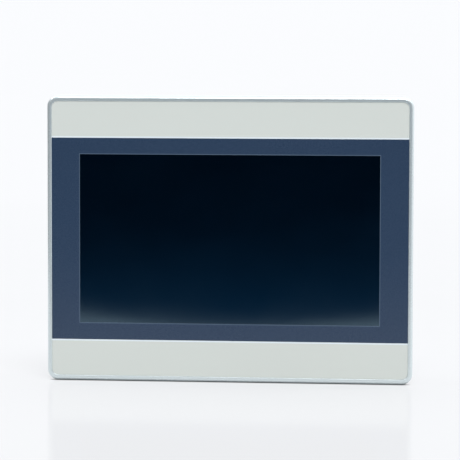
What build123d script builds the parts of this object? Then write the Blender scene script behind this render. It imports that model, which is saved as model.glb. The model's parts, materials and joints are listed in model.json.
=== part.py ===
from build123d import *
import os

# Operator panel with a 10.1 inch resistive touch display, for mounting in a cabinet door.
# Frame: X to the right seen from the front, Y into the cabinet, Z up, millimetres.
# Origin: centre of the panel cut-out, in the plane where the gasket meets the panel.

# ---- driving dimensions -------------------------------------------------------------------
FRONT_W = 271.0          # front outline
FRONT_H = 211.5
FRONT_R = 8.0
CUTOUT_W = 260.0         # hole in the cabinet panel
CUTOUT_H = 200.0
FRONT_PROUD = 5.0        # front face to the sealing plane
DEPTH_BEHIND = 31.4      # sealing plane to the rear face
VIEW_W = 222.0           # visible display window
VIEW_H = 125.0
VIEW_Z = 0.0             # its centre, level with the middle of the front
WALL = 2.2               # housing wall
VESA = 75.0              # bracket screw spacing
RIM_SIDE = 3.3           # bezel outside the overlay, left and right
RIM_END = 3.9            # above and below it
RIM_ROUND = 2.5          # its outer edge
RIM_BREAK = 0.3          # its inner edge, bevelled

# ---- levels along Y -----------------------------------------------------------------------
FRONT_Y = -FRONT_PROUD
OVERLAY_Y = FRONT_Y + 0.45
SEAT_Y = OVERLAY_Y + 0.35
LEDGE_Y = -1.9
FLANGE_Y = -1.0
PLATE_Y = 0.6
LCD_BACK_Y = 6.2
SPLIT_Y = 8.0
CHASSIS_Y = 8.6
BOARD_Y = 13.0
PARTS_Y = BOARD_Y + 1.6
STEP_Y = 14.0
REAR_Y = DEPTH_BEHIND

# ---- outlines worked out from them --------------------------------------------------------
OVERLAY_W = FRONT_W - 2 * RIM_SIDE
OVERLAY_H = FRONT_H - 2 * RIM_END
OVERLAY_R = FRONT_R - RIM_SIDE
SPIGOT_W = CUTOUT_W - 1.6
SPIGOT_H = CUTOUT_H - 1.6
SPIGOT_R = 4.0
CAVITY_W = SPIGOT_W - 2 * WALL
CAVITY_H = SPIGOT_H - 2 * WALL
BULGE_W = 224.0
BULGE_TOP = 84.0
BULGE_FLOOR = -78.0
BULGE_H = BULGE_TOP - BULGE_FLOOR
BULGE_Z = (BULGE_TOP + BULGE_FLOOR) / 2
FLOOR_IN = BULGE_FLOOR + WALL
LCD_W = 235.0
LCD_H = 143.0
TOUCH_W = 237.4
TOUCH_H = 144.4
VESA_Z = 8.0
BRACKET_X = 122.5
BRACKET_Z = 45.0
WELL_Z = -44.0
WELL_FLOOR_Y = 18.6

POWER_X = 78.0
SERIAL_X = (38.0, -4.0)
NETWORK_X = -40.0
USB_X = -66.0
DIP_X = -74.5
RESET_X = -61.5
POLE_PITCH = 5.08
POLES = [POWER_X + (i - 1) * POLE_PITCH for i in range(3)]
DIP_PITCH = 2.54
COVER_SCREWS = [(x, z) for x in (-121.0, 0.0, 121.0) for z in (-92.0, 92.0)]
BRACKET_SCREWS = [(sx * BRACKET_X, VIEW_Z + sz * BRACKET_Z) for sx in (-1, 1) for sz in (-1, 1)]
PILLARS = [(x, z) for x in (-90.0, 0.0, 90.0) for z in (-34.0, 48.0)]
VESA_HOLES = [(sx * VESA / 2, VESA_Z + sz * VESA / 2) for sx in (-1, 1) for sz in (-1, 1)]


# ---- basic shapes -------------------------------------------------------------------------
def block(x0, x1, y0, y1, z0, z1):
    """Box between two corners."""
    size = (x1 - x0, y1 - y0, z1 - z0)
    return Pos((x0 + x1) / 2, (y0 + y1) / 2, (z0 + z1) / 2) * Box(*size)


def rear_plane(x, y, z):
    """Drawing plane across the depth, with +X to the right and +Z up."""
    return Plane((x, y, z), x_dir=(1, 0, 0), z_dir=(0, -1, 0))


def slab(w, h, r, y0, y1, x=0.0, z=0.0):
    """Rounded plate of outline w by h, from y0 to y1."""
    return extrude(rear_plane(x, y1, z) * RectangleRounded(w, h, r), y1 - y0)


def ring(outer, inner, y0, y1, z=0.0):
    """Rounded frame: outer and inner are (width, height, corner radius)."""
    return slab(*outer, y0, y1, z=z) - slab(*inner, y0, y1, z=z)


def rod_y(r, y0, y1, x, z):
    """Round bar along the depth."""
    return extrude(rear_plane(x, y1, z) * Circle(r), y1 - y0)


def rod_z(r, z0, z1, x, y):
    """Round bar along the height."""
    return extrude(Plane((x, y, z0)) * Circle(r), z1 - z0)


def screw_y(x, z, head_y, head_r, head_h, shank_r, length):
    """Pan-head cross-recess screw driven from the rear; head_y is the underside of its head."""
    head = rod_y(head_r, head_y, head_y + head_h, x, z)
    rim = head.faces().sort_by(Axis.Y)[-1].edges()
    head = fillet(rim, head_h * 0.45)
    body = head + rod_y(shank_r, head_y - length, head_y, x, z)
    top = head_y + head_h
    half = head_r * 0.5
    slot = head_r * 0.13
    body -= block(x - half, x + half, top - head_h * 0.6, top, z - slot, z + slot)
    body -= block(x - slot, x + slot, top - head_h * 0.6, top, z - half, z + half)
    return body


def save(name, *pieces):
    """Writes one node; several pieces stay separate solids."""
    shape = pieces[0] if len(pieces) == 1 else Compound(children=list(pieces))
    export_step(shape, f"parts/{name}.step")


# ---- front ------------------------------------------------------------------------------
def front_bezel():
    """Moulded front: flange with a rounded edge and a shallow recess, and a spigot behind it."""
    flange = slab(FRONT_W, FRONT_H, FRONT_R, FRONT_Y, FLANGE_Y)
    flange = fillet(flange.faces().sort_by(Axis.Y)[0].edges(), RIM_ROUND)
    body = flange + slab(SPIGOT_W, SPIGOT_H, SPIGOT_R, FLANGE_Y, SPLIT_Y)
    body -= slab(CAVITY_W, CAVITY_H, SPIGOT_R - 1.5, PLATE_Y, SPLIT_Y)
    break_y = FRONT_Y + RIM_BREAK
    low = rear_plane(0, break_y, 0) * RectangleRounded(OVERLAY_W, OVERLAY_H, OVERLAY_R)
    mouth = (OVERLAY_W + 2 * RIM_BREAK, OVERLAY_H + 2 * RIM_BREAK, OVERLAY_R + RIM_BREAK)
    high = rear_plane(0, FRONT_Y, 0) * RectangleRounded(*mouth)
    body -= loft([low.face(), high.face()], ruled=True)
    body -= slab(OVERLAY_W, OVERLAY_H, OVERLAY_R, break_y, SEAT_Y)
    body -= slab(TOUCH_W + 0.6, TOUCH_H + 0.6, 2.0, SEAT_Y, LEDGE_Y, z=VIEW_Z)
    body -= slab(VIEW_W + 4, VIEW_H + 4, 1.5, LEDGE_Y, PLATE_Y, z=VIEW_Z)
    groove_out = (CUTOUT_W + 8.2, CUTOUT_H + 8.2, 6.1)
    groove_in = (CUTOUT_W, CUTOUT_H, 4.5)
    body -= ring(groove_out, groove_in, FLANGE_Y - 1.0, FLANGE_Y)
    for z0, z1 in ((77.0, 95.0), (-95.0, -77.0)):
        for x0, x1 in ((-112.0, -61.0), (-57.0, -6.0), (6.0, 57.0), (61.0, 112.0)):
            body -= block(x0, x1, -1.6, PLATE_Y, z0, z1)
    body -= block(53.0, 67.0, SEAT_Y, PLATE_Y, -74.2, -71.0)
    for x, z in COVER_SCREWS:
        body += rod_y(3.4, PLATE_Y, 5.5, x, z)
        body -= rod_y(1.45, 0.8, 5.5, x, z)
    for x, z in BRACKET_SCREWS:
        body += rod_y(2.7, PLATE_Y, LCD_BACK_Y, x, z)
        body -= rod_y(1.35, 1.2, LCD_BACK_Y, x, z)
    return body


def front_film():
    """Printed polyester overlay, bonded in the recess."""
    return slab(OVERLAY_W - 0.2, OVERLAY_H - 0.2, OVERLAY_R - 0.1, OVERLAY_Y, SEAT_Y)


def panel_gasket():
    """Foamed seal in the flange's groove; its rear face is the sealing plane."""
    outer = (CUTOUT_W + 7.6, CUTOUT_H + 7.6, 5.8)
    inner = (CUTOUT_W + 0.6, CUTOUT_H + 0.6, 4.8)
    return ring(outer, inner, FLANGE_Y - 1.0, 0.0)


def touch_parts():
    """Four-wire resistive sensor: flexible film over glass, foam behind, tail to the board."""
    film_y = SEAT_Y + 0.2
    glass_y = LEDGE_Y - 0.3
    save("touch_film", slab(TOUCH_W, TOUCH_H, 1.7, SEAT_Y, film_y, z=VIEW_Z))
    save("touch_glass", slab(TOUCH_W, TOUCH_H, 1.7, film_y, glass_y, z=VIEW_Z))
    outer = (TOUCH_W, TOUCH_H, 1.7)
    inner = (VIEW_W + 4, VIEW_H + 4, 1.5)
    save("touch_foam", ring(outer, inner, glass_y, LEDGE_Y, z=VIEW_Z))
    edge = VIEW_Z - TOUCH_H / 2
    thin = 0.25
    low = edge - 1.2
    tail = block(54.0, 66.0, -2.8, -2.8 + thin, low, edge)
    tail += block(54.0, 66.0, -2.8, 10.9, low, low + thin)
    tail += block(54.0, 66.0, 10.9 - thin, 10.9, low, -62.0)
    tail += block(54.0, 66.0, 10.9 - thin, BOARD_Y, -62.0 - thin, -62.0)
    save("touch_tail", tail)


# ---- display ----------------------------------------------------------------------------
def display_parts():
    """Display module: metal frame, glass, diffusers, light guide, light strip, driver board."""
    lip = PLATE_Y + 0.4
    back = LCD_BACK_Y - 0.6
    frame = slab(LCD_W, LCD_H, 1.5, PLATE_Y, LCD_BACK_Y, z=VIEW_Z)
    frame -= slab(LCD_W - 1.4, LCD_H - 1.4, 1.0, lip, back, z=VIEW_Z)
    frame -= slab(VIEW_W + 2.5, VIEW_H + 2.0, 1.0, PLATE_Y, lip, z=VIEW_Z)
    save("lcd_frame", frame)
    glass_y = lip + 1.6
    sheets_y = glass_y + 0.6
    inner_w = LCD_W - 2.4
    inner_h = LCD_H - 2.4
    save("lcd_glass", slab(inner_w, inner_h, 0.8, lip, glass_y, z=VIEW_Z))
    save("diffuser_sheets", slab(inner_w, inner_h, 0.8, glass_y, sheets_y, z=VIEW_Z))
    low = VIEW_Z - inner_h / 2
    guide_low = low + 1.8
    guide_top = low + inner_h
    save("light_guide", block(-inner_w / 2, inner_w / 2, sheets_y, back, guide_low, guide_top))
    save("led_strip", block(-inner_w / 2, inner_w / 2, sheets_y, back - 0.2, low, low + 1.4))
    board = block(-105.0, 105.0, LCD_BACK_Y, LCD_BACK_Y + 0.8, -68.0, -54.0)
    chip_y = LCD_BACK_Y + 0.8
    for x in (-78.0, 8.0, 70.0):
        board += block(x - 6, x + 6, chip_y, chip_y + 0.9, -65.0, -60.0)
    save("lcd_driver_board", board)
    for side, name in ((-1, "left"), (1, "right")):
        x0, x1 = sorted((side * 110.5, side * 125.2))
        strap = block(x0, x1, LCD_BACK_Y, LCD_BACK_Y + 1.0, VIEW_Z - 57, VIEW_Z + 57)
        for x, z in BRACKET_SCREWS:
            strap -= rod_y(1.7, LCD_BACK_Y, LCD_BACK_Y + 1.0, x, z)
        save(f"lcd_bracket_{name}", strap)
    cable = block(-40.0, -16.0, 7.0, 7.3, -60.0, -50.0)
    cable += block(-40.0, -16.0, 7.0, BOARD_Y, -50.3, -50.0)
    save("display_cable", cable)


# ---- chassis and main board -------------------------------------------------------------
def chassis_plate():
    """Sheet-metal hat section over the display; carries the main board on pillars."""
    side = 118.0
    low, top = VIEW_Z - 60, VIEW_Z + 62
    plate = block(-side, side, CHASSIS_Y, CHASSIS_Y + 1.0, low, top)
    for s in (-1, 1):
        x0, x1 = sorted((s * (side - 1.0), s * side))
        plate += block(x0, x1, 7.2, CHASSIS_Y + 1.0, low, top)
        x0, x1 = sorted((s * (side - 1.0), s * 125.2))
        plate += block(x0, x1, 7.2, 8.2, low, top)
    plate -= block(-44.0, -12.0, CHASSIS_Y, CHASSIS_Y + 1.0, -54.0, -46.0)
    for x in (-60.0, 60.0):
        plate -= slab(60.0, 26.0, 3.0, CHASSIS_Y, CHASSIS_Y + 1.0, x=x, z=10.0)
    for x, z in BRACKET_SCREWS:
        plate -= rod_y(1.7, 7.2, 8.2, x, z)
    return plate


def pillar(x, z):
    """Hexagonal board pillar with a tapped hole."""
    foot = CHASSIS_Y + 1.0
    body = extrude(rear_plane(x, BOARD_Y, z) * RegularPolygon(3.0, 6), BOARD_Y - foot)
    return body - rod_y(1.25, foot + 0.4, BOARD_Y, x, z)


def main_board():
    """Printed board with mounting holes."""
    low, top = -74.6, 54.0
    board = slab(192.0, top - low, 2.0, BOARD_Y, PARTS_Y, z=(low + top) / 2)
    for x, z in PILLARS:
        board -= rod_y(1.6, BOARD_Y, PARTS_Y, x, z)
    return board


def board_parts():
    """What is soldered or plugged on the rear face of the main board."""
    y = PARTS_Y
    save("processor", slab(19.0, 19.0, 0.6, y, y + 1.2, x=-10.0, z=12.0))
    sink = slab(28.0, 28.0, 0.8, y + 1.2, y + 3.2, x=-10.0, z=12.0)
    for i in range(8):
        x = -10.0 - 13.3 + i * 3.65
        sink += block(x, x + 1.1, y + 3.2, y + 8.0, -2.0, 26.0)
    save("heatsink", sink)
    save("memory_chips", *[slab(9.0, 13.0, 0.3, y, y + 1.0, x=22.0, z=z) for z in (4.0, 20.0)])
    coils = []
    for x in (54.0, 68.0, 82.0):
        coil = slab(10.0, 10.0, 2.0, y, y + 4.5, x=x, z=-20.0)
        coils.append(coil - rod_y(2.2, y + 4.0, y + 4.5, x, -20.0))
    save("power_inductors", *coils)
    cans = []
    for x in (54.0, 66.0, 78.0):
        can = rod_y(4.0, y + 0.8, y + 10.0, x, -5.0)
        can = fillet(can.faces().sort_by(Axis.Y)[-1].edges(), 0.6)
        cans.append(can + slab(8.6, 8.6, 0.6, y, y + 0.8, x=x, z=-5.0))
    save("capacitors", *cans)
    save("fuse", *fuse_parts(64.0, 84.0, y + 3.2, -36.0))
    holder = rod_y(11.6, y, y + 5.6, -66.0, 16.0) + block(-71.0, -61.0, y, y + 5.6, 1.8, 10.0)
    holder -= rod_y(10.3, y + 1.6, y + 5.6, -66.0, 16.0)
    holder -= block(-69.0, -63.0, y + 1.6, y + 5.6, 1.8, 8.0)
    save("battery_holder", holder)
    save("coin_cell", fillet(rod_y(10.0, y + 1.6, y + 4.8, -66.0, 16.0).edges(), 0.4))
    case = rod_y(6.0, y, y + 6.5, 40.0, 34.0)
    case = fillet(case.faces().sort_by(Axis.Y)[-1].edges(), 0.5)
    save("buzzer", case - rod_y(1.2, y + 2.0, y + 6.5, 40.0, 34.0))


def fuse_parts(x0, x1, y, z):
    """Glass tube fuse with two end caps held in clips on the board."""
    tube = extrude(Plane((x0 + 5, y, z), x_dir=(0, 1, 0), z_dir=(1, 0, 0)) * Circle(2.3), x1 - x0 - 10)
    parts = [tube]
    for a in (x0, x1 - 5):
        cap = extrude(Plane((a, y, z), x_dir=(0, 1, 0), z_dir=(1, 0, 0)) * Circle(2.6), 5.0)
        clip = block(a + 0.8, a + 4.2, PARTS_Y, y, z - 3.2, z + 3.2)
        parts.append(cap + clip)
    return parts


# ---- sockets ----------------------------------------------------------------------------
def network_jack():
    """Shielded modular jack facing down, with its stepped socket."""
    x, y0, y1 = NETWORK_X, PARTS_Y, PARTS_Y + 13.4
    z0, z1 = BULGE_FLOOR - 1.5, BULGE_FLOOR + 19.5
    t = 0.4
    shield = block(x - 8, x + 8, y0, y1, z0, z1)
    shield -= block(x - 8 + t, x + 8 - t, y0, y1 - t, z0, z1 - t)
    save("network_jack_shield", shield)
    insert = block(x - 8 + t, x + 8 - t, y0, y1 - t, z0 + 0.3, z1 - t)
    insert -= block(x - 5.9, x + 5.9, y0 + 2.4, y0 + 10.6, z0, z0 + 13.5)
    insert -= block(x - 3.0, x + 3.0, y0 + 1.0, y0 + 2.4, z0, z0 + 10.0)
    save("network_jack_insert", insert)


def usb_jack():
    """Host socket facing down: folded shell, tongue and back block."""
    x, y0 = USB_X, PARTS_Y + 0.1
    z0, z1 = BULGE_FLOOR - 1.5, BULGE_FLOOR + 12.5
    t = 0.35
    shell = block(x - 6.6, x + 6.6, y0, y0 + 5.8, z0, z1)
    shell -= block(x - 6.6 + t, x + 6.6 - t, y0 + t, y0 + 5.8 - t, z0, z1)
    save("usb_shell", shell)
    tongue = block(x - 5.6, x + 5.6, y0 + 3.1, y0 + 4.9, z0 + 1.2, z1 - 3.4)
    tongue += block(x - 6.2, x + 6.2, y0 + 0.4, y0 + 5.4, z1 - 3.4, z1)
    save("usb_tongue", tongue)


def d_outline(grow):
    """D-shaped outline of a nine-way connector shell, grown by a margin."""
    half_h = 4.1 + grow
    wide = 8.4 + grow
    narrow = 7.0 + grow
    shape = Polygon((-narrow, -half_h), (narrow, -half_h), (wide, half_h), (-wide, half_h), align=None)
    return fillet(shape.vertices(), 2.4 + grow)


def d_prism(x, z0, z1, grow):
    """D-shaped bar along the height, centred on a serial socket."""
    return extrude(Plane((x, SERIAL_Y, z0)) * d_outline(grow), z1 - z0)


SERIAL_Y = PARTS_Y + 6.8
SERIAL_FACE = FLOOR_IN + 0.8
SERIAL_REACH = 12.5


def pin_places(x):
    """Centres of the five and four contacts, as (x, y, distance of the tail from the back)."""
    near = [(x + (i - 1.5) * 2.77, SERIAL_Y - 1.42, 0.4) for i in range(4)]
    far = [(x + (i - 2.0) * 2.77, SERIAL_Y + 1.42, 3.0) for i in range(5)]
    return near + far


def serial_shell(x):
    """Flange and D-shaped collar, with two screw holes."""
    shell = block(x - 15.4, x + 15.4, SERIAL_Y - 6.2, SERIAL_Y + 6.2, FLOOR_IN, SERIAL_FACE)
    shell += d_prism(x, FLOOR_IN - 6.0, FLOOR_IN, 0.0)
    shell -= d_prism(x, FLOOR_IN - 6.0, SERIAL_FACE, -0.5)
    for s in (-1, 1):
        shell -= rod_z(1.55, FLOOR_IN, SERIAL_FACE, x + s * SERIAL_REACH, SERIAL_Y)
    return shell


def serial_insulator(x):
    """Moulded body behind the flange, with a plug of it filling the collar's root."""
    body = block(x - 9.4, x + 9.4, SERIAL_Y - 5.0, SERIAL_Y + 5.0, SERIAL_FACE, SERIAL_FACE + 9.0)
    body += d_prism(x, FLOOR_IN - 0.4, SERIAL_FACE, -0.5)
    for px, py, _ in pin_places(x):
        body -= rod_z(0.55, FLOOR_IN - 0.4, SERIAL_FACE + 9.0, px, py)
    return body


def serial_pin(px, py, tail):
    """Round contact with a square tail turned down to the board."""
    back = SERIAL_FACE + 9.0
    pin = rod_z(0.5, FLOOR_IN - 5.2, back + tail + 0.4, px, py)
    pin = fillet(pin.faces().sort_by(Axis.Z)[0].edges(), 0.3)
    return pin + block(px - 0.4, px + 0.4, PARTS_Y, py, back + tail, back + tail + 0.8)


def jack_screw(x):
    """Hexagonal stand-off screw with a tapped mouth for the plug's thumbscrew."""
    head = 4.8
    body = extrude(Plane((x, SERIAL_Y, BULGE_FLOOR - head)) * RegularPolygon(2.7, 6), head)
    body += rod_z(1.4, BULGE_FLOOR, SERIAL_FACE + 2.0, x, SERIAL_Y)
    return body - rod_z(1.15, BULGE_FLOOR - head, BULGE_FLOOR, x, SERIAL_Y)


def serial_ports():
    """Two nine-way sockets facing down, with their screws."""
    save("serial_shells", *[serial_shell(x) for x in SERIAL_X])
    save("serial_insulators", *[serial_insulator(x) for x in SERIAL_X])
    save("serial_pins", *[serial_pin(*p) for x in SERIAL_X for p in pin_places(x)])
    places = [x + s * SERIAL_REACH for x in SERIAL_X for s in (-1, 1)]
    save("jack_screws", *[jack_screw(x) for x in places])


# ---- power connector --------------------------------------------------------------------
HEADER_MOUTH = BULGE_FLOOR - 2.0
CAGE_Z = (HEADER_MOUTH - 8.2, HEADER_MOUTH - 3.6)
BAR_Y = (PARTS_Y + 5.0, PARTS_Y + 5.8)
CAGE_Y = (PARTS_Y + 1.6, PARTS_Y + 7.6)
LEDGE_PLUG_Y = PARTS_Y + 11.0


def power_header():
    """Board header with an open mouth; the plug's nose slides into it."""
    y0 = PARTS_Y
    body = block(POWER_X - 8.7, POWER_X + 8.7, y0, y0 + 8.8, HEADER_MOUTH, HEADER_MOUTH + 12)
    body -= block(POWER_X - 7.6, POWER_X + 7.6, y0 + 0.8, y0 + 8.1, HEADER_MOUTH, HEADER_MOUTH + 8.2)
    for x in POLES:
        body -= block(x - 0.55, x + 0.55, y0 + 3.75, y0 + 4.85, HEADER_MOUTH + 8.2, HEADER_MOUTH + 12)
    return body


def power_pin(x):
    """Square pin through the header's back wall, turned down to the board."""
    back = HEADER_MOUTH + 13.0
    pin = block(x - 0.5, x + 0.5, PARTS_Y + 3.8, PARTS_Y + 4.8, HEADER_MOUTH + 1.0, back)
    return pin + block(x - 0.5, x + 0.5, PARTS_Y, PARTS_Y + 4.8, back - 0.8, back + 0.2)


def power_plug():
    """Plug-in terminal: nose for the header, body with clamp rooms, wire mouths, screw wells."""
    y0 = PARTS_Y
    half = 1.5 * POLE_PITCH
    rear = HEADER_MOUTH - 0.3
    front = HEADER_MOUTH - 11.0
    body = block(POWER_X - half, POWER_X + half, y0 + 0.3, y0 + 15.0, front, rear)
    body = chamfer(body.edges().filter_by(Axis.X), 0.7)
    body += block(POWER_X - 7.3, POWER_X + 7.3, y0 + 1.1, y0 + 7.8, rear, HEADER_MOUTH + 7.8)
    for x in POLES:
        body -= block(x - 2.1, x + 2.1, y0 + 1.2, LEDGE_PLUG_Y - 0.7, CAGE_Z[0] - 0.2, CAGE_Z[1] + 0.2)
        body -= block(x - 1.6, x + 1.6, y0 + 2.5, y0 + 4.9, front, CAGE_Z[0])
        body -= block(x - 1.3, x + 1.3, y0 + 3.5, BAR_Y[1] + 0.1, CAGE_Z[1], HEADER_MOUTH + 7.8)
        middle = sum(CAGE_Z) / 2
        body -= rod_y(2.15, LEDGE_PLUG_Y, y0 + 15.0, x, middle)
        body -= rod_y(1.6, LEDGE_PLUG_Y - 0.8, LEDGE_PLUG_Y, x, middle)
    return body


def plug_contact(x):
    """Flat bar from the clamp room into the nose, where it rests on the header's pin."""
    return block(x - 1.2, x + 1.2, *BAR_Y, CAGE_Z[0] + 0.2, HEADER_MOUTH + 7.2)


def terminal_screw(x):
    """Slotted clamp screw that turns in place."""
    z = sum(CAGE_Z) / 2
    foot = LEDGE_PLUG_Y + 0.1
    head = rod_y(2.0, foot, foot + 2.0, x, z)
    head = fillet(head.faces().sort_by(Axis.Y)[-1].edges(), 0.4)
    body = head + rod_y(1.45, BAR_Y[1] + 0.3, foot, x, z)
    return body - block(x - 2.0, x + 2.0, foot + 1.1, foot + 2.0, z - 0.3, z + 0.3)


def wire_clamp(x):
    """Clamp cage round the contact bar; the screw lifts it along its thread."""
    z0, z1 = CAGE_Z
    cage = block(x - 1.95, x + 1.95, *CAGE_Y, z0, z1)
    cage -= block(x - 1.45, x + 1.45, CAGE_Y[0] + 0.8, CAGE_Y[1] - 1.0, z0, z1)
    return cage - rod_y(1.5, CAGE_Y[1] - 1.0, CAGE_Y[1], x, (z0 + z1) / 2)


def power_parts():
    """Header and pins on the board; plug, bars, screws and cages that come off with it."""
    save("power_header", power_header())
    save("power_pins", *[power_pin(x) for x in POLES])
    save("power_plug", power_plug())
    save("plug_contacts", *[plug_contact(x) for x in POLES])
    for i, x in enumerate(POLES, 1):
        save(f"terminal_screw_{i}", terminal_screw(x))
        save(f"wire_clamp_{i}", wire_clamp(x))


# ---- setting switches -------------------------------------------------------------------
def switch_parts():
    """Four-way slide switch and reset push switch at the foot of the rear well."""
    y0 = PARTS_Y
    body = slab(11.7, 6.2, 0.4, y0, y0 + 2.6, x=DIP_X, z=WELL_Z)
    for i in range(4):
        x = DIP_X + (i - 1.5) * DIP_PITCH
        body -= block(x - 0.7, x + 0.7, y0 + 1.3, y0 + 2.6, WELL_Z - 1.9, WELL_Z + 1.9)
        slider = block(x - 0.6, x + 0.6, y0 + 1.4, y0 + 3.3, WELL_Z - 1.75, WELL_Z - 0.05)
        save(f"dip_slider_{i + 1}", slider)
    save("dip_switch_body", body)
    case = slab(6.0, 6.0, 0.6, y0, y0 + 3.4, x=RESET_X, z=WELL_Z)
    case -= rod_y(2.6, y0 + 0.6, y0 + 2.8, RESET_X, WELL_Z)
    case -= rod_y(1.8, y0 + 2.8, y0 + 3.4, RESET_X, WELL_Z)
    save("reset_switch_body", case)
    dome = rod_y(2.4, y0 + 0.6, y0 + 0.95, RESET_X, WELL_Z)
    save("reset_dome", fillet(dome.faces().sort_by(Axis.Y)[-1].edges(), 0.3))
    cap = rod_y(1.7, y0 + 2.0, y0 + 5.2, RESET_X, WELL_Z)
    cap = fillet(cap.faces().sort_by(Axis.Y)[-1].edges(), 0.4)
    save("reset_button", cap + rod_y(2.4, y0 + 1.4, y0 + 2.7, RESET_X, WELL_Z))


# ---- rear cover ---------------------------------------------------------------------------
def cover_shell():
    """Stepped shell: a shallow tray over the whole back and a deeper bulge for the board."""
    tray = slab(SPIGOT_W, SPIGOT_H, SPIGOT_R, SPLIT_Y, STEP_Y)
    tray = fillet(tray.faces().sort_by(Axis.Y)[-1].edges(), 1.2)
    bulge = slab(BULGE_W, BULGE_H, 6.0, STEP_Y - 1.0, REAR_Y, z=BULGE_Z)
    bulge = fillet(bulge.faces().sort_by(Axis.Y)[-1].edges(), 2.0)
    shell = tray + bulge
    shell -= slab(CAVITY_W, CAVITY_H, SPIGOT_R - 1.5, SPLIT_Y, STEP_Y - WALL)
    inner_w = BULGE_W - 2 * WALL
    inner_h = BULGE_H - 2 * WALL
    shell -= slab(inner_w, inner_h, 4.0, STEP_Y - WALL, REAR_Y - WALL, z=BULGE_Z)
    lip_out = (CAVITY_W - 0.4, CAVITY_H - 0.4, 2.3)
    lip_in = (CAVITY_W - 3.0, CAVITY_H - 3.0, 1.5)
    shell += ring(lip_out, lip_in, SPLIT_Y - 1.5, SPLIT_Y + 0.6)
    root_out = (CAVITY_W + 1.0, CAVITY_H + 1.0, 3.0)
    return shell + ring(root_out, lip_in, SPLIT_Y, SPLIT_Y + 0.6)


def cover_columns(shell):
    """Screw columns, bracket bosses and the switch well inside the shell."""
    for x, z in COVER_SCREWS:
        shell += rod_y(4.2, 5.5, STEP_Y - 1.0, x, z)
        shell -= rod_y(1.7, 5.5, STEP_Y, x, z)
        shell -= rod_y(3.3, 11.0, STEP_Y, x, z)
    for x, z in VESA_HOLES:
        shell += rod_y(5.2, REAR_Y - 9.0, REAR_Y - 1.0, x, z)
        shell -= rod_y(3.05, REAR_Y - 7.0, REAR_Y, x, z)
    x0, x1 = DIP_X - 8.5, RESET_X + 5.5
    z0, z1 = WELL_Z - 6.0, WELL_Z + 6.0
    shell += block(x0 - 1.5, x1 + 1.5, WELL_FLOOR_Y, REAR_Y - 1.0, z0 - 1.5, z1 + 1.5)
    shell -= block(x0, x1, WELL_FLOOR_Y + 1.4, REAR_Y, z0, z1)
    shell -= block(DIP_X - 5.3, DIP_X + 5.3, WELL_FLOOR_Y, REAR_Y, WELL_Z - 2.5, WELL_Z + 2.5)
    return shell - rod_y(2.1, WELL_FLOOR_Y, REAR_Y, RESET_X, WELL_Z)


def cover_openings(shell):
    """Socket windows in the floor of the bulge, vents, clamp slots and label recess."""
    z0, z1 = BULGE_FLOOR, FLOOR_IN
    y0 = PARTS_Y - 0.3
    shell -= block(NETWORK_X - 8.3, NETWORK_X + 8.3, y0, PARTS_Y + 13.7, z0, z1)
    shell -= block(USB_X - 6.9, USB_X + 6.9, y0, PARTS_Y + 6.2, z0, z1)
    shell -= block(POWER_X - 9.0, POWER_X + 9.0, y0, PARTS_Y + 9.1, z0, z1)
    for x in SERIAL_X:
        shell -= d_prism(x, z0, z1, 0.4)
        for s in (-1, 1):
            shell -= rod_z(1.6, z0, z1, x + s * SERIAL_REACH, SERIAL_Y)
    for i in range(25):
        x = (i - 12) * 6.0
        shell -= slab(2.2, 12.0, 1.0, REAR_Y - WALL, REAR_Y, x=x, z=70.0)
        shell -= block(x - 1.1, x + 1.1, 18.0, 27.0, BULGE_TOP - WALL, BULGE_TOP)
    slot_y = (9.4, 12.0)
    for s in (-1, 1):
        for a in (-60.0, 60.0):
            low, high = sorted((s * (SPIGOT_H / 2 - WALL), s * SPIGOT_H / 2))
            shell -= block(a - 4.5, a + 4.5, *slot_y, low, high)
        for a in (-45.0, 45.0):
            low, high = sorted((s * (SPIGOT_W / 2 - WALL), s * SPIGOT_W / 2))
            shell -= block(low, high, *slot_y, a - 4.5, a + 4.5)
    return shell - slab(56.0, 40.0, 1.5, REAR_Y - 0.3, REAR_Y, z=VESA_Z)


def insert(x, z):
    """Brass threaded insert, flush with the rear face."""
    body = rod_y(3.0, REAR_Y - 7.0, REAR_Y, x, z)
    return body - rod_y(1.65, REAR_Y - 6.5, REAR_Y, x, z)


def rear_parts():
    """Cover with its label, inserts and screws."""
    save("rear_cover", cover_openings(cover_columns(cover_shell())))
    save("rear_label", slab(55.4, 39.4, 1.2, REAR_Y - 0.3, REAR_Y - 0.1, z=VESA_Z))
    save("bracket_inserts", *[insert(x, z) for x, z in VESA_HOLES])
    save("cover_screws", *[screw_y(x, z, 11.0, 2.9, 2.0, 1.4, 9.8) for x, z in COVER_SCREWS])


# ---- all nodes ----------------------------------------------------------------------------
os.makedirs("parts", exist_ok=True)
save("front_bezel", front_bezel())
save("front_overlay", front_film())
save("panel_gasket", panel_gasket())
touch_parts()
display_parts()
save("chassis_plate", chassis_plate())
save("chassis_screws", *[screw_y(x, z, 8.2, 2.4, 1.8, 1.3, 6.6) for x, z in BRACKET_SCREWS])
save("board_standoffs", *[pillar(x, z) for x, z in PILLARS])
save("main_board", main_board())
save("board_screws", *[screw_y(x, z, PARTS_Y, 2.7, 1.7, 1.2, 4.0) for x, z in PILLARS])
board_parts()
network_jack()
usb_jack()
serial_ports()
power_parts()
switch_parts()
rear_parts()
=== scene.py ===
import json
import math

import bmesh
import bpy
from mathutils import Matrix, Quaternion, Vector

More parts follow.
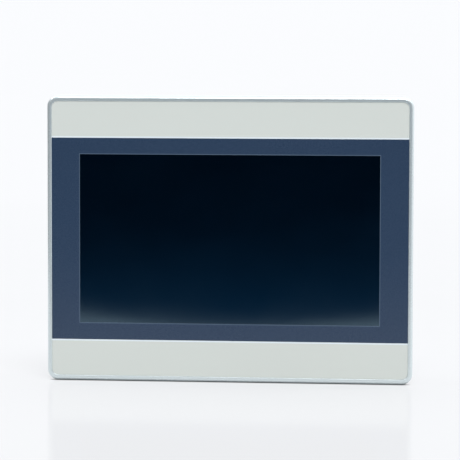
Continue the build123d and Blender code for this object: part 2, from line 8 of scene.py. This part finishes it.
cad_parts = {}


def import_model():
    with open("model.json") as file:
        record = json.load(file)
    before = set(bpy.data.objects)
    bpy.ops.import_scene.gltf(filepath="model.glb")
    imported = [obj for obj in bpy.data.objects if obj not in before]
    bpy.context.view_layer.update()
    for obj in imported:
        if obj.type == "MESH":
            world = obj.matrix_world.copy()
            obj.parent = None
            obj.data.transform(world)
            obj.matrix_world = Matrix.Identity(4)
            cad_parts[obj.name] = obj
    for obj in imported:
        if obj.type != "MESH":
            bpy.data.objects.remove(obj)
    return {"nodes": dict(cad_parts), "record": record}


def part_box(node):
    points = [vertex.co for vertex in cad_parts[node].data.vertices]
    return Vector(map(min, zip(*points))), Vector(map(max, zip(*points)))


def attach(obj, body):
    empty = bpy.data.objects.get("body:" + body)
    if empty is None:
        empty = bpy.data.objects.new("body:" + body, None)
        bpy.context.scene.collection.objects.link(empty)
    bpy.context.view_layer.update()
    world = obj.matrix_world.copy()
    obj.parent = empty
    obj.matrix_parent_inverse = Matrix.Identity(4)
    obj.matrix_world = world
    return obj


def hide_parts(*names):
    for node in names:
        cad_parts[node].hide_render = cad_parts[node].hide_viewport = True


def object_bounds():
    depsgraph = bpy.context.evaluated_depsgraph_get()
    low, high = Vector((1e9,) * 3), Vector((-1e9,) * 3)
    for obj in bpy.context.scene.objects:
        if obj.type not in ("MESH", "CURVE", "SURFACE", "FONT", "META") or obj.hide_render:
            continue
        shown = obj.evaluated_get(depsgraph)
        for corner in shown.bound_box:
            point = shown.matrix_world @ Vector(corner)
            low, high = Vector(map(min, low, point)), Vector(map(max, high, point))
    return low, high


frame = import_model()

CAD_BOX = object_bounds()
MM = 0.001
ROOT = "housing"

# Places on the front, in millimetres in the model's frame
FIELD_TOP = 74.7
FIELD_BOTTOM = -75.0
LINE = 1.15
WINDOW_X = 111.05
WINDOW_TOP = 62.6
WINDOW_BOTTOM = -62.4
WINDOW_EDGE = 0.55
FILM_R = 4.6
FILM_BEVEL = 0.09
CORNER_STEPS = 12

# Socket contacts, in millimetres: pitch, width and thickness of the network wires, and the
# (depth, height) points that each follows from the roof and the mouth of the socket
WIRE_PITCH = 1.02
WIRE_WIDTH = 0.45
WIRE_THICK = 0.3
JACK_ROOF = 10.6
WIRE_PATH = ((-0.15, 1.6), (-0.5, 2.1), (-1.4, 4.4), (-2.3, 7.2), (-2.8, 9.6), (-2.9, 13.1))

# The same for the four USB contacts, with their places across the tongue
USB_ACROSS = (-3.5, -1.0, 1.0, 3.5)
USB_WIDTH = 1.0
USB_THICK = 0.12
TONGUE_FACE = 2.7
USB_PATH = ((-0.02, 0.7), (-0.12, 1.2), (-0.12, 9.2))

# Camera: where it aims on the front, and from where, in millimetres and degrees; and its lens
AIM = (0.7, -4.2, 7.3)
AZIMUTH = 5.67
ELEVATION = 4.02
ROLL = 0.14
DISTANCE = 1828.3
LENS = 194.15

# Paper: its colour and that of its own light; the strength of that light near the object
# and far off, and the distances over which it rises; and what the backdrop adds
PAPER = (0.150, 0.152, 0.155)
PAPER_LIGHT = (0.97, 0.98, 1.0)
FLOOR_GLOW = 0.68
FAR_GLOW = 0.745
GLOW_RISE = (0.6, 2.4)
BACKDROP_GLOW = 0.10

# Painted contact shadow where a piece touches the paper: how far round it reaches, in metres, and how
# sharply
CONTACT_SHADOW_REACH = 0.0026
CONTACT_SHADOW_POWER = 1.6

# Sheen of the paper at the object, and the distances over which it fades to none
SHEEN = 0.22
SHEEN_FADE = (0.38, 0.75)

# Layout of the paper, in metres: its edge in front of the object, a line of points nearer
# the object, the start and radius of the curve behind it, its top, and its outer sides
NEAR = -0.375
MIDDLE_LINE = -0.1
CURVE_START = 2.2
CURVE_RADIUS = 1.6
PAPER_TOP = 4.5
PAPER_SIDE = 30.0
CURVE_STEPS = 16

# Sheets to the left and right in front of that edge: name, X where each leaves it, X and Y
# of its tip, and X of its outer side, in metres
LOBES = (("paper_left", -0.07, -0.19, -0.465, -9.0),
         ("paper_right", -0.01, 0.10, -0.455, 9.0))

# Room that lights the object and shows in its gloss: low and high behind the camera, and
# elsewhere; the directions' heights and depths where one gives way to the next; and the
# backdrop that the camera sees past the paper
ROOM_FLOOR = (0.009, 0.102, 0.212)
ROOM_FAR = (0.001, 0.0083, 0.0165)
PALE_SIDE = (0.85, 0.87, 0.9)
FLOOR_TO_FAR = (-0.107, -0.080)
BEHIND_TO_SIDE = (-0.85, 0.0)
BACKDROP = (0.957, 0.965, 0.98)

# Lights: the key, and soft ones by name, place, size, watts and whether gloss shows them
KEY_PLACE = (0.3, -1.0, 1.6)
KEY = 2.85
KEY_ANGLE = 30.0
SOFT_LIGHTS = (("top_soft", (0.0, 0.1, 1.2), (1.6, 1.0), 3.4, False),
               ("left_soft", (-1.3, 0.2, 1.7), (0.8, 1.0), 7.5, True),
               ("right_soft", (1.3, 0.2, 1.7), (0.8, 1.0), 7.5, True),
               ("back_soft", (0.0, 1.3, 1.9), (1.6, 0.9), 5.0, False))


# ---- material building blocks ------------------------------------------------------------
class Nodes:
    """A node tree whose nodes are made with short calls."""

    def __init__(self, tree):
        self.tree = tree

    def node(self, kind, **values):
        made = self.tree.nodes.new("ShaderNode" + kind)
        for key, value in values.items():
            setattr(made, key, value)
        return made

    def link(self, out, to):
        self.tree.links.new(out, to)

    def spread(self, value, low, high, to_low=0.0, to_high=1.0):
        """Maps a value's range to another, clamped."""
        made = self.node("MapRange")
        made.inputs["From Min"].default_value = low
        made.inputs["From Max"].default_value = high
        made.inputs["To Min"].default_value = to_low
        made.inputs["To Max"].default_value = to_high
        self.link(value, made.inputs["Value"])
        return made.outputs["Result"]

    def mix(self, factor, a, b):
        """Blend of two colours, each a tuple or a socket, by a factor socket."""
        made = self.node("Mix", data_type="RGBA")
        self.link(factor, made.inputs[0])
        for socket, colour in ((made.inputs[6], a), (made.inputs[7], b)):
            if isinstance(colour, tuple):
                socket.default_value = (*colour, 1.0)
            else:
                self.link(colour, socket)
        return made.outputs[2]


class Shader(Nodes):
    """The nodes of a new material."""

    def __init__(self, name):
        self.material = bpy.data.materials.new(name)
        self.material.use_nodes = True
        super().__init__(self.material.node_tree)
        self.surface = self.tree.nodes["Principled BSDF"]
        self.coords = self.node("TexCoord")

    def mapped(self, scale):
        """Object coordinates, stretched by a scale per axis."""
        mapping = self.node("Mapping")
        mapping.inputs["Scale"].default_value = scale
        self.link(self.coords.outputs["Object"], mapping.inputs["Vector"])
        return mapping.outputs["Vector"]

    def noise(self, scale, detail, rough=0.55, stretch=(1, 1, 1)):
        made = self.node("TexNoise")
        made.inputs["Scale"].default_value = scale
        made.inputs["Detail"].default_value = detail
        made.inputs["Roughness"].default_value = rough
        self.link(self.mapped(stretch), made.inputs["Vector"])
        return made.outputs["Fac"]

    def cells(self, scale):
        made = self.node("TexVoronoi", feature="F1")
        made.inputs["Scale"].default_value = scale
        self.link(self.mapped((1, 1, 1)), made.inputs["Vector"])
        return made.outputs["Distance"]

    def bricks(self, scale, mortar, **values):
        """Brick texture on the upright X-Z plane; its Fac is 1 in the joints, 0 in bricks."""
        made = self.node("TexBrick", **values)
        made.inputs["Scale"].default_value = scale
        made.inputs["Mortar Size"].default_value = mortar
        turned = self.node("Mapping")
        turned.inputs["Rotation"].default_value = (math.radians(90), 0, 0)
        self.link(self.coords.outputs["Object"], turned.inputs["Vector"])
        self.link(turned.outputs["Vector"], made.inputs["Vector"])
        return made

    def maths(self, operation, a, b):
        """One arithmetic step on two values, each a number or a socket."""
        made = self.node("Math", operation=operation)
        for socket, value in ((made.inputs[0], a), (made.inputs[1], b)):
            if isinstance(value, (int, float)):
                socket.default_value = value
            else:
                self.link(value, socket)
        return made.outputs[0]

    def bump(self, height, distance):
        made = self.node("Bump")
        made.inputs["Distance"].default_value = distance
        self.link(height, made.inputs["Height"])
        return made.outputs["Normal"]

    def edges(self, radius):
        """1 on sharp outer and inner edges, 0 on flats."""
        bevel = self.node("Bevel", samples=4)
        bevel.inputs["Radius"].default_value = radius
        geometry = self.node("NewGeometry")
        dot = self.node("VectorMath", operation="DOT_PRODUCT")
        self.link(bevel.outputs["Normal"], dot.inputs[0])
        self.link(geometry.outputs["Normal"], dot.inputs[1])
        return self.spread(dot.outputs["Value"], 0.985, 0.86)

    def set(self, **values):
        """Sets sockets of the surface shader, with _ for a space, and gives the material."""
        for key, value in values.items():
            socket = self.surface.inputs[key.replace("_", " ")]
            if isinstance(value, bpy.types.NodeSocket):
                self.link(value, socket)
            elif isinstance(value, tuple) and len(value) == 3 and socket.type == "RGBA":
                socket.default_value = (*value, 1.0)
            else:
                socket.default_value = value
        return self.material


def shade(colour, factor):
    """The colour made darker or lighter."""
    return tuple(min(1.0, c * factor) for c in colour)


# ---- materials ---------------------------------------------------------------------------
def moulded(name, colour, rough, grain, depth):
    """Moulded plastic: fine spark-eroded grain, slight mottling, edges rubbed lighter."""
    mottle, wear = 0.06, 0.25
    s = Shader(name)
    cloud = s.noise(35.0, 4.0)
    fine = s.noise(1.0 / grain, 2.0, 0.6)
    body = s.mix(s.spread(cloud, 0.3, 0.7), shade(colour, 1 - mottle), shade(colour, 1 + mottle))
    patches = s.spread(s.noise(260.0, 4.0), 0.45, 0.75, 0.0, wear)
    rubbed = s.maths("MULTIPLY", s.edges(0.0004), patches)
    lighter = tuple(c + (1.0 - c) * 0.35 for c in colour)
    roughness = s.maths("ADD", s.spread(cloud, 0.3, 0.7, rough - 0.04, rough + 0.04),
                        s.spread(fine, 0.3, 0.7, -0.05, 0.05))
    return s.set(Base_Color=s.mix(rubbed, body, lighter), Roughness=roughness,
                 Normal=s.bump(fine, depth))


def metal(name, colour, rough, brushed=(1, 1, 1), scale=900.0, depth=0.000004):
    """Plated or brushed metal: streaked or cloudy roughness, and slight tarnish."""
    s = Shader(name)
    streak = s.noise(scale, 3.0, 0.6, stretch=brushed)
    cloud = s.noise(60.0, 4.0)
    tone = s.mix(s.spread(cloud, 0.3, 0.75), shade(colour, 1.06), shade(colour, 0.82))
    worn = s.mix(s.edges(0.00025), tone, shade(colour, 1.2))
    roughness = s.maths("ADD", s.spread(streak, 0.3, 0.7, rough - 0.08, rough + 0.08),
                        s.spread(cloud, 0.3, 0.7, -0.04, 0.06))
    return s.set(Base_Color=worn, Metallic=1.0, Roughness=roughness, Normal=s.bump(streak, depth))


def silver_paint(name, colour):
    """Satin silver-grey lacquer with fine flakes, as on moulded fronts."""
    s = Shader(name)
    flake = s.noise(5200.0, 2.0, 0.6)
    cloud = s.noise(22.0, 4.0)
    tone = s.mix(s.spread(flake, 0.35, 0.7), shade(colour, 0.94), shade(colour, 1.08))
    roughness = s.maths("ADD", s.spread(flake, 0.3, 0.7, 0.26, 0.31),
                        s.spread(cloud, 0.3, 0.75, -0.005, 0.01))
    return s.set(Base_Color=tone, Metallic=0.58, Roughness=roughness, Normal=s.bump(flake, 0.0000015))


def rubber(name, colour):
    """Closed-cell foam: small open pores with painted shade in them, and a dull, dusty surface."""
    s = Shader(name)
    pores = s.cells(2600.0)
    cloud = s.noise(90.0, 4.0)
    tone = s.mix(s.spread(cloud, 0.3, 0.75), colour, shade(colour, 1.9))
    # The pores are drawn darker: painted shade in them, besides their bump
    return s.set(Base_Color=s.mix(s.spread(pores, 0.0, 0.35), shade(colour, 0.4), tone),
                 Roughness=s.spread(cloud, 0.2, 0.8, 0.78, 0.95), Normal=s.bump(pores, 0.00008))


def board(name, colour):
    """Printed board: solder mask over tracks, with glass weave faintly below."""
    s = Shader(name)
    tracks = s.bricks(160.0, 0.09, offset=0.37, squash=0.6, squash_frequency=3)
    tracks.inputs["Brick Width"].default_value = 1.7
    weave = s.noise(1400.0, 2.0, 0.5, stretch=(1, 1, 4))
    tone = s.mix(tracks.outputs["Fac"], colour, tuple(c * 1.5 + 0.03 for c in colour))
    tone = s.mix(s.spread(weave, 0.4, 0.7, 0.0, 0.3), tone, shade(colour, 0.6))
    return s.set(Base_Color=tone, Roughness=s.spread(weave, 0.3, 0.7, 0.28, 0.42),
                 Normal=s.bump(tracks.outputs["Fac"], 0.00003))


def clear(name, colour, rough=0.05):
    """Clear glass or acrylic, with faint smears."""
    s = Shader(name)
    smear = s.noise(45.0, 5.0, 0.6, stretch=(1, 1, 2.5))
    return s.set(Base_Color=colour, Transmission_Weight=1.0, IOR=1.5,
                 Roughness=s.spread(smear, 0.35, 0.8, rough, rough + 0.12))


def sheet_print(name, colour, rough=0.42, sparkle=0.05):
    """Printed polyester film: velvet texture of the film over an even ink."""
    s = Shader(name)
    velvet = s.noise(2800.0, 2.0, 0.6)
    cloud = s.noise(9.0, 3.0)
    ink = s.noise(1600.0, 2.0, 0.7)
    tone = s.mix(s.spread(cloud, 0.3, 0.7), shade(colour, 0.993), shade(colour, 1.007))
    tone = s.mix(s.spread(ink, 0.35, 0.7, 0.0, sparkle), tone, shade(colour, 1.25))
    roughness = s.maths("ADD", s.spread(velvet, 0.3, 0.7, rough - 0.05, rough + 0.05),
                        s.spread(cloud, 0.3, 0.7, -0.02, 0.03))
    return s.set(Base_Color=tone, Roughness=roughness, IOR=1.5, Normal=s.bump(velvet, 0.0000025))


def dark_window():
    """Anti-glare window over the unlit display: near black, with a cool sheen."""
    s = Shader("display_window")
    fog = s.noise(3200.0, 2.0, 0.6)
    cloud = s.noise(14.0, 4.0, 0.6, stretch=(1, 1, 1.8))
    pixels = s.bricks(2300.0, 0.03, offset=0.0)
    deep = s.mix(s.spread(cloud, 0.3, 0.7), (0.0001, 0.0012, 0.0032), (0.0002, 0.0018, 0.0046))
    deep = s.mix(s.spread(pixels.outputs["Fac"], 0.0, 1.0, 0.0, 0.35), deep, (0.0, 0.0008, 0.0022))
    roughness = s.maths("ADD", s.spread(fog, 0.3, 0.7, 0.085, 0.11),
                        s.spread(cloud, 0.35, 0.75, -0.01, 0.02))
    return s.set(Base_Color=deep, Roughness=roughness, IOR=2.35, Specular_Tint=(0.50, 0.77, 1.0),
                 Normal=s.bump(fog, 0.0000012))


def blank_label(name, colour):
    """Silver foil label: brushed sheen with thin printed rules and no lettering."""
    s = Shader(name)
    low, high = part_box("rear_label")
    split = s.node("SeparateXYZ")
    s.link(s.coords.outputs["Object"], split.inputs[0])
    across = s.spread(split.outputs["X"], low.x, high.x)
    up = s.spread(split.outputs["Z"], low.z, high.z)
    rule = None
    for value, repeats, width in ((up, 5.0, 0.035), (across, 2.0, 0.012)):
        phase = s.maths("FRACT", s.maths("MULTIPLY", value, repeats), 0.0)
        line = s.maths("LESS_THAN", phase, width)
        rule = line if rule is None else s.maths("MAXIMUM", rule, line)
    brush = s.noise(700.0, 3.0, 0.6, stretch=(1, 1, 14))
    foil = s.mix(s.spread(brush, 0.3, 0.7), shade(colour, 0.92), shade(colour, 1.04))
    return s.set(Base_Color=s.mix(rule, foil, (0.08, 0.09, 0.1)), Metallic=0.35,
                 Roughness=s.spread(brush, 0.3, 0.7, 0.32, 0.44), Normal=s.bump(brush, 0.000003))


def make_materials():
    """One material for each slot of the record."""
    return {
        "bezel_plastic": silver_paint("bezel_plastic", (0.70, 0.775, 0.79)),
        "overlay_print": sheet_print("overlay_print", (0.618, 0.654, 0.622), 0.52),
        "gasket_foam": rubber("gasket_foam", (0.035, 0.036, 0.04)),
        "touch_film": clear("touch_film", (0.9, 0.93, 0.95), 0.1),
        "touch_glass": clear("touch_glass", (0.92, 0.96, 0.95)),
        "lcd_glass": sheet_print("lcd_glass", (0.004, 0.006, 0.008), 0.25),
        "light_guide": sheet_print("light_guide", (0.82, 0.85, 0.86), 0.3),
        "flex_film": sheet_print("flex_film", (0.42, 0.20, 0.045), 0.3, 0.15),
        "sheet_steel": metal("sheet_steel", (0.60, 0.61, 0.60), 0.36, (1, 1, 18)),
        "circuit_board": board("circuit_board", (0.012, 0.11, 0.05)),
        "ic_package": moulded("ic_package", (0.022, 0.022, 0.024), 0.5, 0.0002, 0.000006),
        "plated_steel": metal("plated_steel", (0.70, 0.70, 0.675), 0.24, (1, 1, 8), 700.0),
        "screw_steel": metal("screw_steel", (0.42, 0.43, 0.44), 0.32),
        "gold_contact": metal("gold_contact", (0.86, 0.62, 0.24), 0.2),
        "tinned_contact": metal("tinned_contact", (0.68, 0.69, 0.68), 0.3),
        "brass": metal("brass", (0.72, 0.52, 0.22), 0.28, (1, 12, 1), 1200.0, 0.00001),
        "connector_green": moulded("connector_green", (0.02, 0.24, 0.085), 0.42, 0.0002, 0.000006),
        "connector_black": moulded("connector_black", (0.016, 0.016, 0.018), 0.42, 0.0002, 0.000006),
        "switch_blue": moulded("switch_blue", (0.02, 0.07, 0.30), 0.4, 0.0002, 0.000005),
        "switch_white": moulded("switch_white", (0.82, 0.81, 0.76), 0.4, 0.0002, 0.000004),
        "button_red": moulded("button_red", (0.50, 0.02, 0.02), 0.38, 0.0002, 0.000004),
        "heatsink_black": metal("heatsink_black", (0.045, 0.046, 0.05), 0.42, (1, 1, 10)),
        "fuse_glass": clear("fuse_glass", (0.92, 0.95, 0.94)),
        "cover_plastic": moulded("cover_plastic", (0.040, 0.042, 0.046), 0.52, 0.0006, 0.00002),
        "label_film": blank_label("label_film", (0.70, 0.71, 0.71)),
    }


def dress_cad(materials):
    """Gives every CAD node the material of its slot."""
    slots = {s["node"]: s["material_slot"] for s in frame["record"]["subparts"]}
    for name, obj in frame["nodes"].items():
        obj.data.materials.clear()
        obj.data.materials.append(materials[slots[name]])


# ---- meshes ------------------------------------------------------------------------------
def add_object(name, data):
    obj = bpy.data.objects.new(name, data)
    bpy.context.scene.collection.objects.link(obj)
    return obj


def finish_mesh(bm, name, materials):
    """Turns a bmesh in millimetres into a piece in metres that rides on the housing."""
    bmesh.ops.recalc_face_normals(bm, faces=bm.faces)
    bmesh.ops.scale(bm, vec=(MM, MM, MM), verts=bm.verts)
    mesh = bpy.data.meshes.new(name)
    bm.to_mesh(mesh)
    bm.free()
    obj = add_object(name, mesh)
    for m in materials:
        mesh.materials.append(m)
    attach(obj, ROOT)
    return obj


def corner(cx, cz, r, start):
    """Points of a quarter round, from a start angle in degrees, anticlockwise."""
    turns = [math.radians(start + 90.0 * i / CORNER_STEPS) for i in range(CORNER_STEPS + 1)]
    return [(cx + r * math.cos(t), cz + r * math.sin(t)) for t in turns]


def front_film(materials):
    """Printed film over the whole front: grey bands, pale lines, field, and the dark window."""
    low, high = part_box("front_overlay")
    half = high.x / MM
    top = high.z / MM
    bottom = low.z / MM
    front = low.y / MM
    back = high.y / MM
    r = FILM_R
    bm = bmesh.new()
    shared = {}

    def vert(x, z):
        key = (round(x, 4), round(z, 4))
        if key not in shared:
            shared[key] = bm.verts.new((x, front, z))
        return shared[key]

    def face(points, material):
        made = bm.faces.new([vert(*p) for p in points])
        made.material_index = material

    band, line, field, rim, window = range(5)
    line_top = FIELD_TOP + LINE
    line_bottom = FIELD_BOTTOM - LINE
    face([(-half, line_top), (half, line_top), *corner(half - r, top - r, r, 0),
          *corner(-half + r, top - r, r, 90)], band)
    face([(half, line_bottom), (-half, line_bottom), *corner(-half + r, bottom + r, r, 180),
          *corner(half - r, bottom + r, r, 270)], band)
    face([(-half, FIELD_TOP), (half, FIELD_TOP), (half, line_top), (-half, line_top)], line)
    face([(-half, line_bottom), (half, line_bottom), (half, FIELD_BOTTOM),
          (-half, FIELD_BOTTOM)], line)

    def box_points(x, z0, z1):
        """Corners of a rectangle centred in X, between two heights."""
        return [(-x, z0), (x, z0), (x, z1), (-x, z1)]

    def frame_faces(outer, inner, material):
        """Four faces between two rectangles."""
        for i in range(4):
            j = (i + 1) % 4
            face([outer[i], outer[j], inner[j], inner[i]], material)

    outside = box_points(half, FIELD_BOTTOM, FIELD_TOP)
    edge = box_points(WINDOW_X + WINDOW_EDGE, WINDOW_BOTTOM - WINDOW_EDGE, WINDOW_TOP + WINDOW_EDGE)
    inside = box_points(WINDOW_X, WINDOW_BOTTOM, WINDOW_TOP)
    frame_faces(outside, edge, field)
    frame_faces(edge, inside, rim)
    face(inside, window)
    made = bmesh.ops.extrude_face_region(bm, geom=list(bm.faces))
    moved = [v for v in made["geom"] if isinstance(v, bmesh.types.BMVert)]
    bmesh.ops.translate(bm, vec=(0, back - front, 0), verts=moved)
    obj = finish_mesh(bm, "front_film", materials)
    bevel = obj.modifiers.new("edge", "BEVEL")
    bevel.width = FILM_BEVEL * MM
    bevel.segments = 2
    bevel.limit_method = "ANGLE"
    bevel.angle_limit = math.radians(60)
    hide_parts("front_overlay")


def bent_strip(bm, points, width, thick):
    """Flat metal strip of one width (along X) that follows points (x, y, z)."""
    rings = []
    for i, p in enumerate(points):
        before = Vector(points[max(i - 1, 0)])
        after = Vector(points[min(i + 1, len(points) - 1)])
        along = (after - before).normalized()
        side = Vector((1, 0, 0))
        up = along.cross(side).normalized()
        offsets = ((-1, -1), (1, -1), (1, 1), (-1, 1))
        rings.append([bm.verts.new(Vector(p) + side * (a * width / 2) + up * (b * thick / 2))
                      for a, b in offsets])
    for a, b in zip(rings, rings[1:]):
        for i in range(4):
            j = (i + 1) % 4
            bm.faces.new((a[i], a[j], b[j], b[i]))
    for ring in (rings[0], rings[-1]):
        bm.faces.new(ring)


def network_contacts(material):
    """Eight sprung wires slanting through the network socket."""
    low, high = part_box("network_jack_insert")
    middle = (low.x + high.x) / 2 / MM
    roof = low.y / MM + JACK_ROOF
    mouth = low.z / MM
    bm = bmesh.new()
    for i in range(8):
        x = middle + (i - 3.5) * WIRE_PITCH
        path = [(x, roof + depth, mouth + height) for depth, height in WIRE_PATH]
        bent_strip(bm, path, WIRE_WIDTH, WIRE_THICK)
    obj = finish_mesh(bm, "network_contacts", [material])


def usb_contacts(material):
    """Four flat contacts on the tongue."""
    low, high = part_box("usb_tongue")
    middle = (low.x + high.x) / 2 / MM
    surface = low.y / MM + TONGUE_FACE
    mouth = low.z / MM
    bm = bmesh.new()
    for x in USB_ACROSS:
        path = [(middle + x, surface + depth, mouth + height) for depth, height in USB_PATH]
        bent_strip(bm, path, USB_WIDTH, USB_THICK)
    obj = finish_mesh(bm, "usb_contacts", [material])


# ---- studio ------------------------------------------------------------------------------
def stage_mesh(name, points, faces, material):
    """Stage surface through points in metres."""
    mesh = bpy.data.meshes.new(name)
    mesh.from_pydata(points, [], faces)
    obj = add_object(name, mesh)
    mesh.materials.append(material)
    return obj


def sheet(name, corners, material):
    """Flat stage surface through its corners."""
    return stage_mesh(name, corners, [tuple(range(len(corners)))], material)


def paper_sweep(ground, material):
    """Paper from the front of the object back to a wide curve and up."""
    line = [(NEAR, 0.0), (MIDDLE_LINE, 0.0), (CURVE_START, 0.0)]
    for i in range(1, CURVE_STEPS + 1):
        turn = math.radians(90.0 * i / CURVE_STEPS)
        line.append((CURVE_START + CURVE_RADIUS * math.sin(turn), CURVE_RADIUS * (1 - math.cos(turn))))
    line.append((CURVE_START + CURVE_RADIUS, PAPER_TOP))
    points = [(x, y, ground + z) for y, z in line for x in (-PAPER_SIDE, PAPER_SIDE)]
    faces = [(2 * i, 2 * i + 1, 2 * i + 3, 2 * i + 2) for i in range(len(line) - 1)]
    sweep = stage_mesh("paper_sweep", points, faces, material)
    for p in sweep.data.polygons:
        p.use_smooth = True


def paper_material(name, ground, contact_shadow):
    """White paper with a light of its own, even but for a slow rise far off and up the backdrop.

    Where a piece touches, ambient occlusion dims that light: a painted contact shadow. A sheen
    shows a faint reflection near the object.
    """
    s = Shader(name)
    cloud = s.noise(3.0, 3.0)
    fine = s.noise(220.0, 3.0)
    tone = s.mix(s.spread(cloud, 0.3, 0.7), PAPER, shade(PAPER, 1.01))
    split = s.node("SeparateXYZ")
    s.link(s.coords.outputs["Object"], split.inputs[0])
    away = s.node("VectorMath", operation="LENGTH")
    s.link(s.mapped((1, 1, 0)), away.inputs[0])
    level = s.spread(away.outputs["Value"], *GLOW_RISE, FLOOR_GLOW, FAR_GLOW)
    upright = s.spread(split.outputs["Z"], ground, ground + CURVE_RADIUS, 0.0, BACKDROP_GLOW)
    glow = s.maths("ADD", level, upright)
    # Painted contact shadow: ambient occlusion dims the paper's own light round a touching piece
    if contact_shadow:
        contact_shadow_ao = s.node("AmbientOcclusion", samples=8)
        contact_shadow_ao.inputs["Distance"].default_value = CONTACT_SHADOW_REACH
        unshadowed_share = s.maths("POWER", contact_shadow_ao.outputs["AO"], CONTACT_SHADOW_POWER)
        glow = s.maths("MULTIPLY", glow, unshadowed_share)
    return s.set(Base_Color=tone, Roughness=s.spread(fine, 0.3, 0.7, 0.6, 0.72),
                 Specular_IOR_Level=0.0, Coat_Roughness=0.1,
                 Coat_Weight=s.spread(away.outputs["Value"], *SHEEN_FADE, SHEEN, 0.0),
                 Emission_Color=PAPER_LIGHT, Emission_Strength=glow)


def dark_flag():
    """Black cloth on the left, seen in the gloss only: it gives the left rim its dark edge."""
    s = Shader("flag_cloth")
    weave = s.noise(900.0, 2.0)
    s.set(Base_Color=s.mix(weave, (0.012, 0.014, 0.017), (0.03, 0.034, 0.04)), Roughness=0.9)
    x, front, rear, foot, head = -0.6, -0.5, 1.7, -0.065, 0.38
    corners = [(x, front, foot), (x, rear, foot), (x, rear, head), (x, front, head)]
    cloth = sheet("dark_flag", corners, s.material)
    cloth.visible_camera = False
    cloth.visible_diffuse = False
    cloth.visible_transmission = False
    cloth.visible_shadow = False


def aimed_light(name, kind, place, power):
    """Light at a place, aimed at the origin and hidden from the camera."""
    data = bpy.data.lights.new(name, kind)
    data.energy = power
    obj = add_object(name, data)
    obj.location = place
    obj.rotation_mode = "QUATERNION"
    obj.rotation_quaternion = (-Vector(place)).to_track_quat("-Z", "Y")
    obj.visible_camera = False
    return obj


def soft_light(name, place, size, power, glossy):
    lamp = aimed_light(name, "AREA", place, power)
    lamp.data.shape = "RECTANGLE"
    lamp.data.size, lamp.data.size_y = size
    lamp.visible_glossy = glossy


def world():
    """Pale studio all round; the room behind the camera is dim and bluish."""
    made = bpy.data.worlds.new("studio")
    bpy.context.scene.world = made
    made.use_nodes = True
    n = Nodes(made.node_tree)
    n.tree.nodes.clear()
    direction = n.node("SeparateXYZ")
    n.link(n.node("TexCoord").outputs["Generated"], direction.inputs[0])
    dim = n.mix(n.spread(direction.outputs["Z"], *FLOOR_TO_FAR), ROOM_FLOOR, ROOM_FAR)
    room = n.mix(n.spread(direction.outputs["Y"], *BEHIND_TO_SIDE), dim, PALE_SIDE)
    light = n.node("Background")
    n.link(room, light.inputs["Color"])
    seen = n.node("Background")
    seen.inputs["Color"].default_value = (*BACKDROP, 1)
    mix = n.node("MixShader")
    n.link(n.node("LightPath").outputs["Is Camera Ray"], mix.inputs[0])
    n.link(light.outputs[0], mix.inputs[1])
    n.link(seen.outputs[0], mix.inputs[2])
    n.link(mix.outputs[0], n.node("OutputWorld").inputs[0])


def studio():
    """Paper sweep, a soft key from above the camera, and large soft lights all round."""
    ground = CAD_BOX[0].z
    paper_sweep(ground, paper_material("studio_paper", ground, contact_shadow=True))
    paper = paper_material("front_paper", ground, contact_shadow=False)
    for name, root, tip, reach, side in LOBES:
        corners = [(root, NEAR), (side, NEAR), (side, reach), (tip, reach)]
        sheet(name, [(x, y, ground) for x, y in corners], paper)
    front = [(-PAPER_SIDE, -PAPER_SIDE), (PAPER_SIDE, -PAPER_SIDE), (PAPER_SIDE, NEAR),
             (-PAPER_SIDE, NEAR)]
    dim = sheet("paper_front", [(x, y, ground - 0.2 * MM) for x, y in front], paper)
    dim.visible_glossy = False
    dark_flag()
    key = aimed_light("key_sun", "SUN", KEY_PLACE, KEY)
    key.data.angle = math.radians(KEY_ANGLE)
    for soft in SOFT_LIGHTS:
        soft_light(*soft)
    world()
    scene = bpy.context.scene
    scene.view_settings.view_transform = "Standard"
    scene.view_settings.look = "None"


def camera():
    data = bpy.data.cameras.new("camera")
    obj = add_object("camera", data)
    bpy.context.scene.camera = obj
    data.sensor_width = 36.0
    data.lens = LENS
    a, e = math.radians(AZIMUTH), math.radians(ELEVATION)
    back = Vector((math.sin(a) * math.cos(e), -math.cos(a) * math.cos(e), math.sin(e)))
    obj.location = (Vector(AIM) + back * DISTANCE) * MM
    obj.rotation_mode = "QUATERNION"
    roll = Quaternion((0, 0, 1), math.radians(ROLL))
    obj.rotation_quaternion = (-back).to_track_quat("-Z", "Y") @ roll
    data.clip_start = 0.01
    data.clip_end = 50.0


# ---- build -------------------------------------------------------------------------------
camera()
studio()
looks = make_materials()
dress_cad(looks)
white_line = sheet_print("overlay_line", (0.72, 0.79, 0.83))
field_ink = sheet_print("overlay_field", (0.0245, 0.047, 0.091), 0.265, 0.08)
window_rim = sheet_print("window_rim", (0.074, 0.112, 0.168), 0.38, 0.05)
front_film([looks["overlay_print"], white_line, field_ink, window_rim, dark_window()])
network_contacts(looks["gold_contact"])
usb_contacts(looks["gold_contact"])
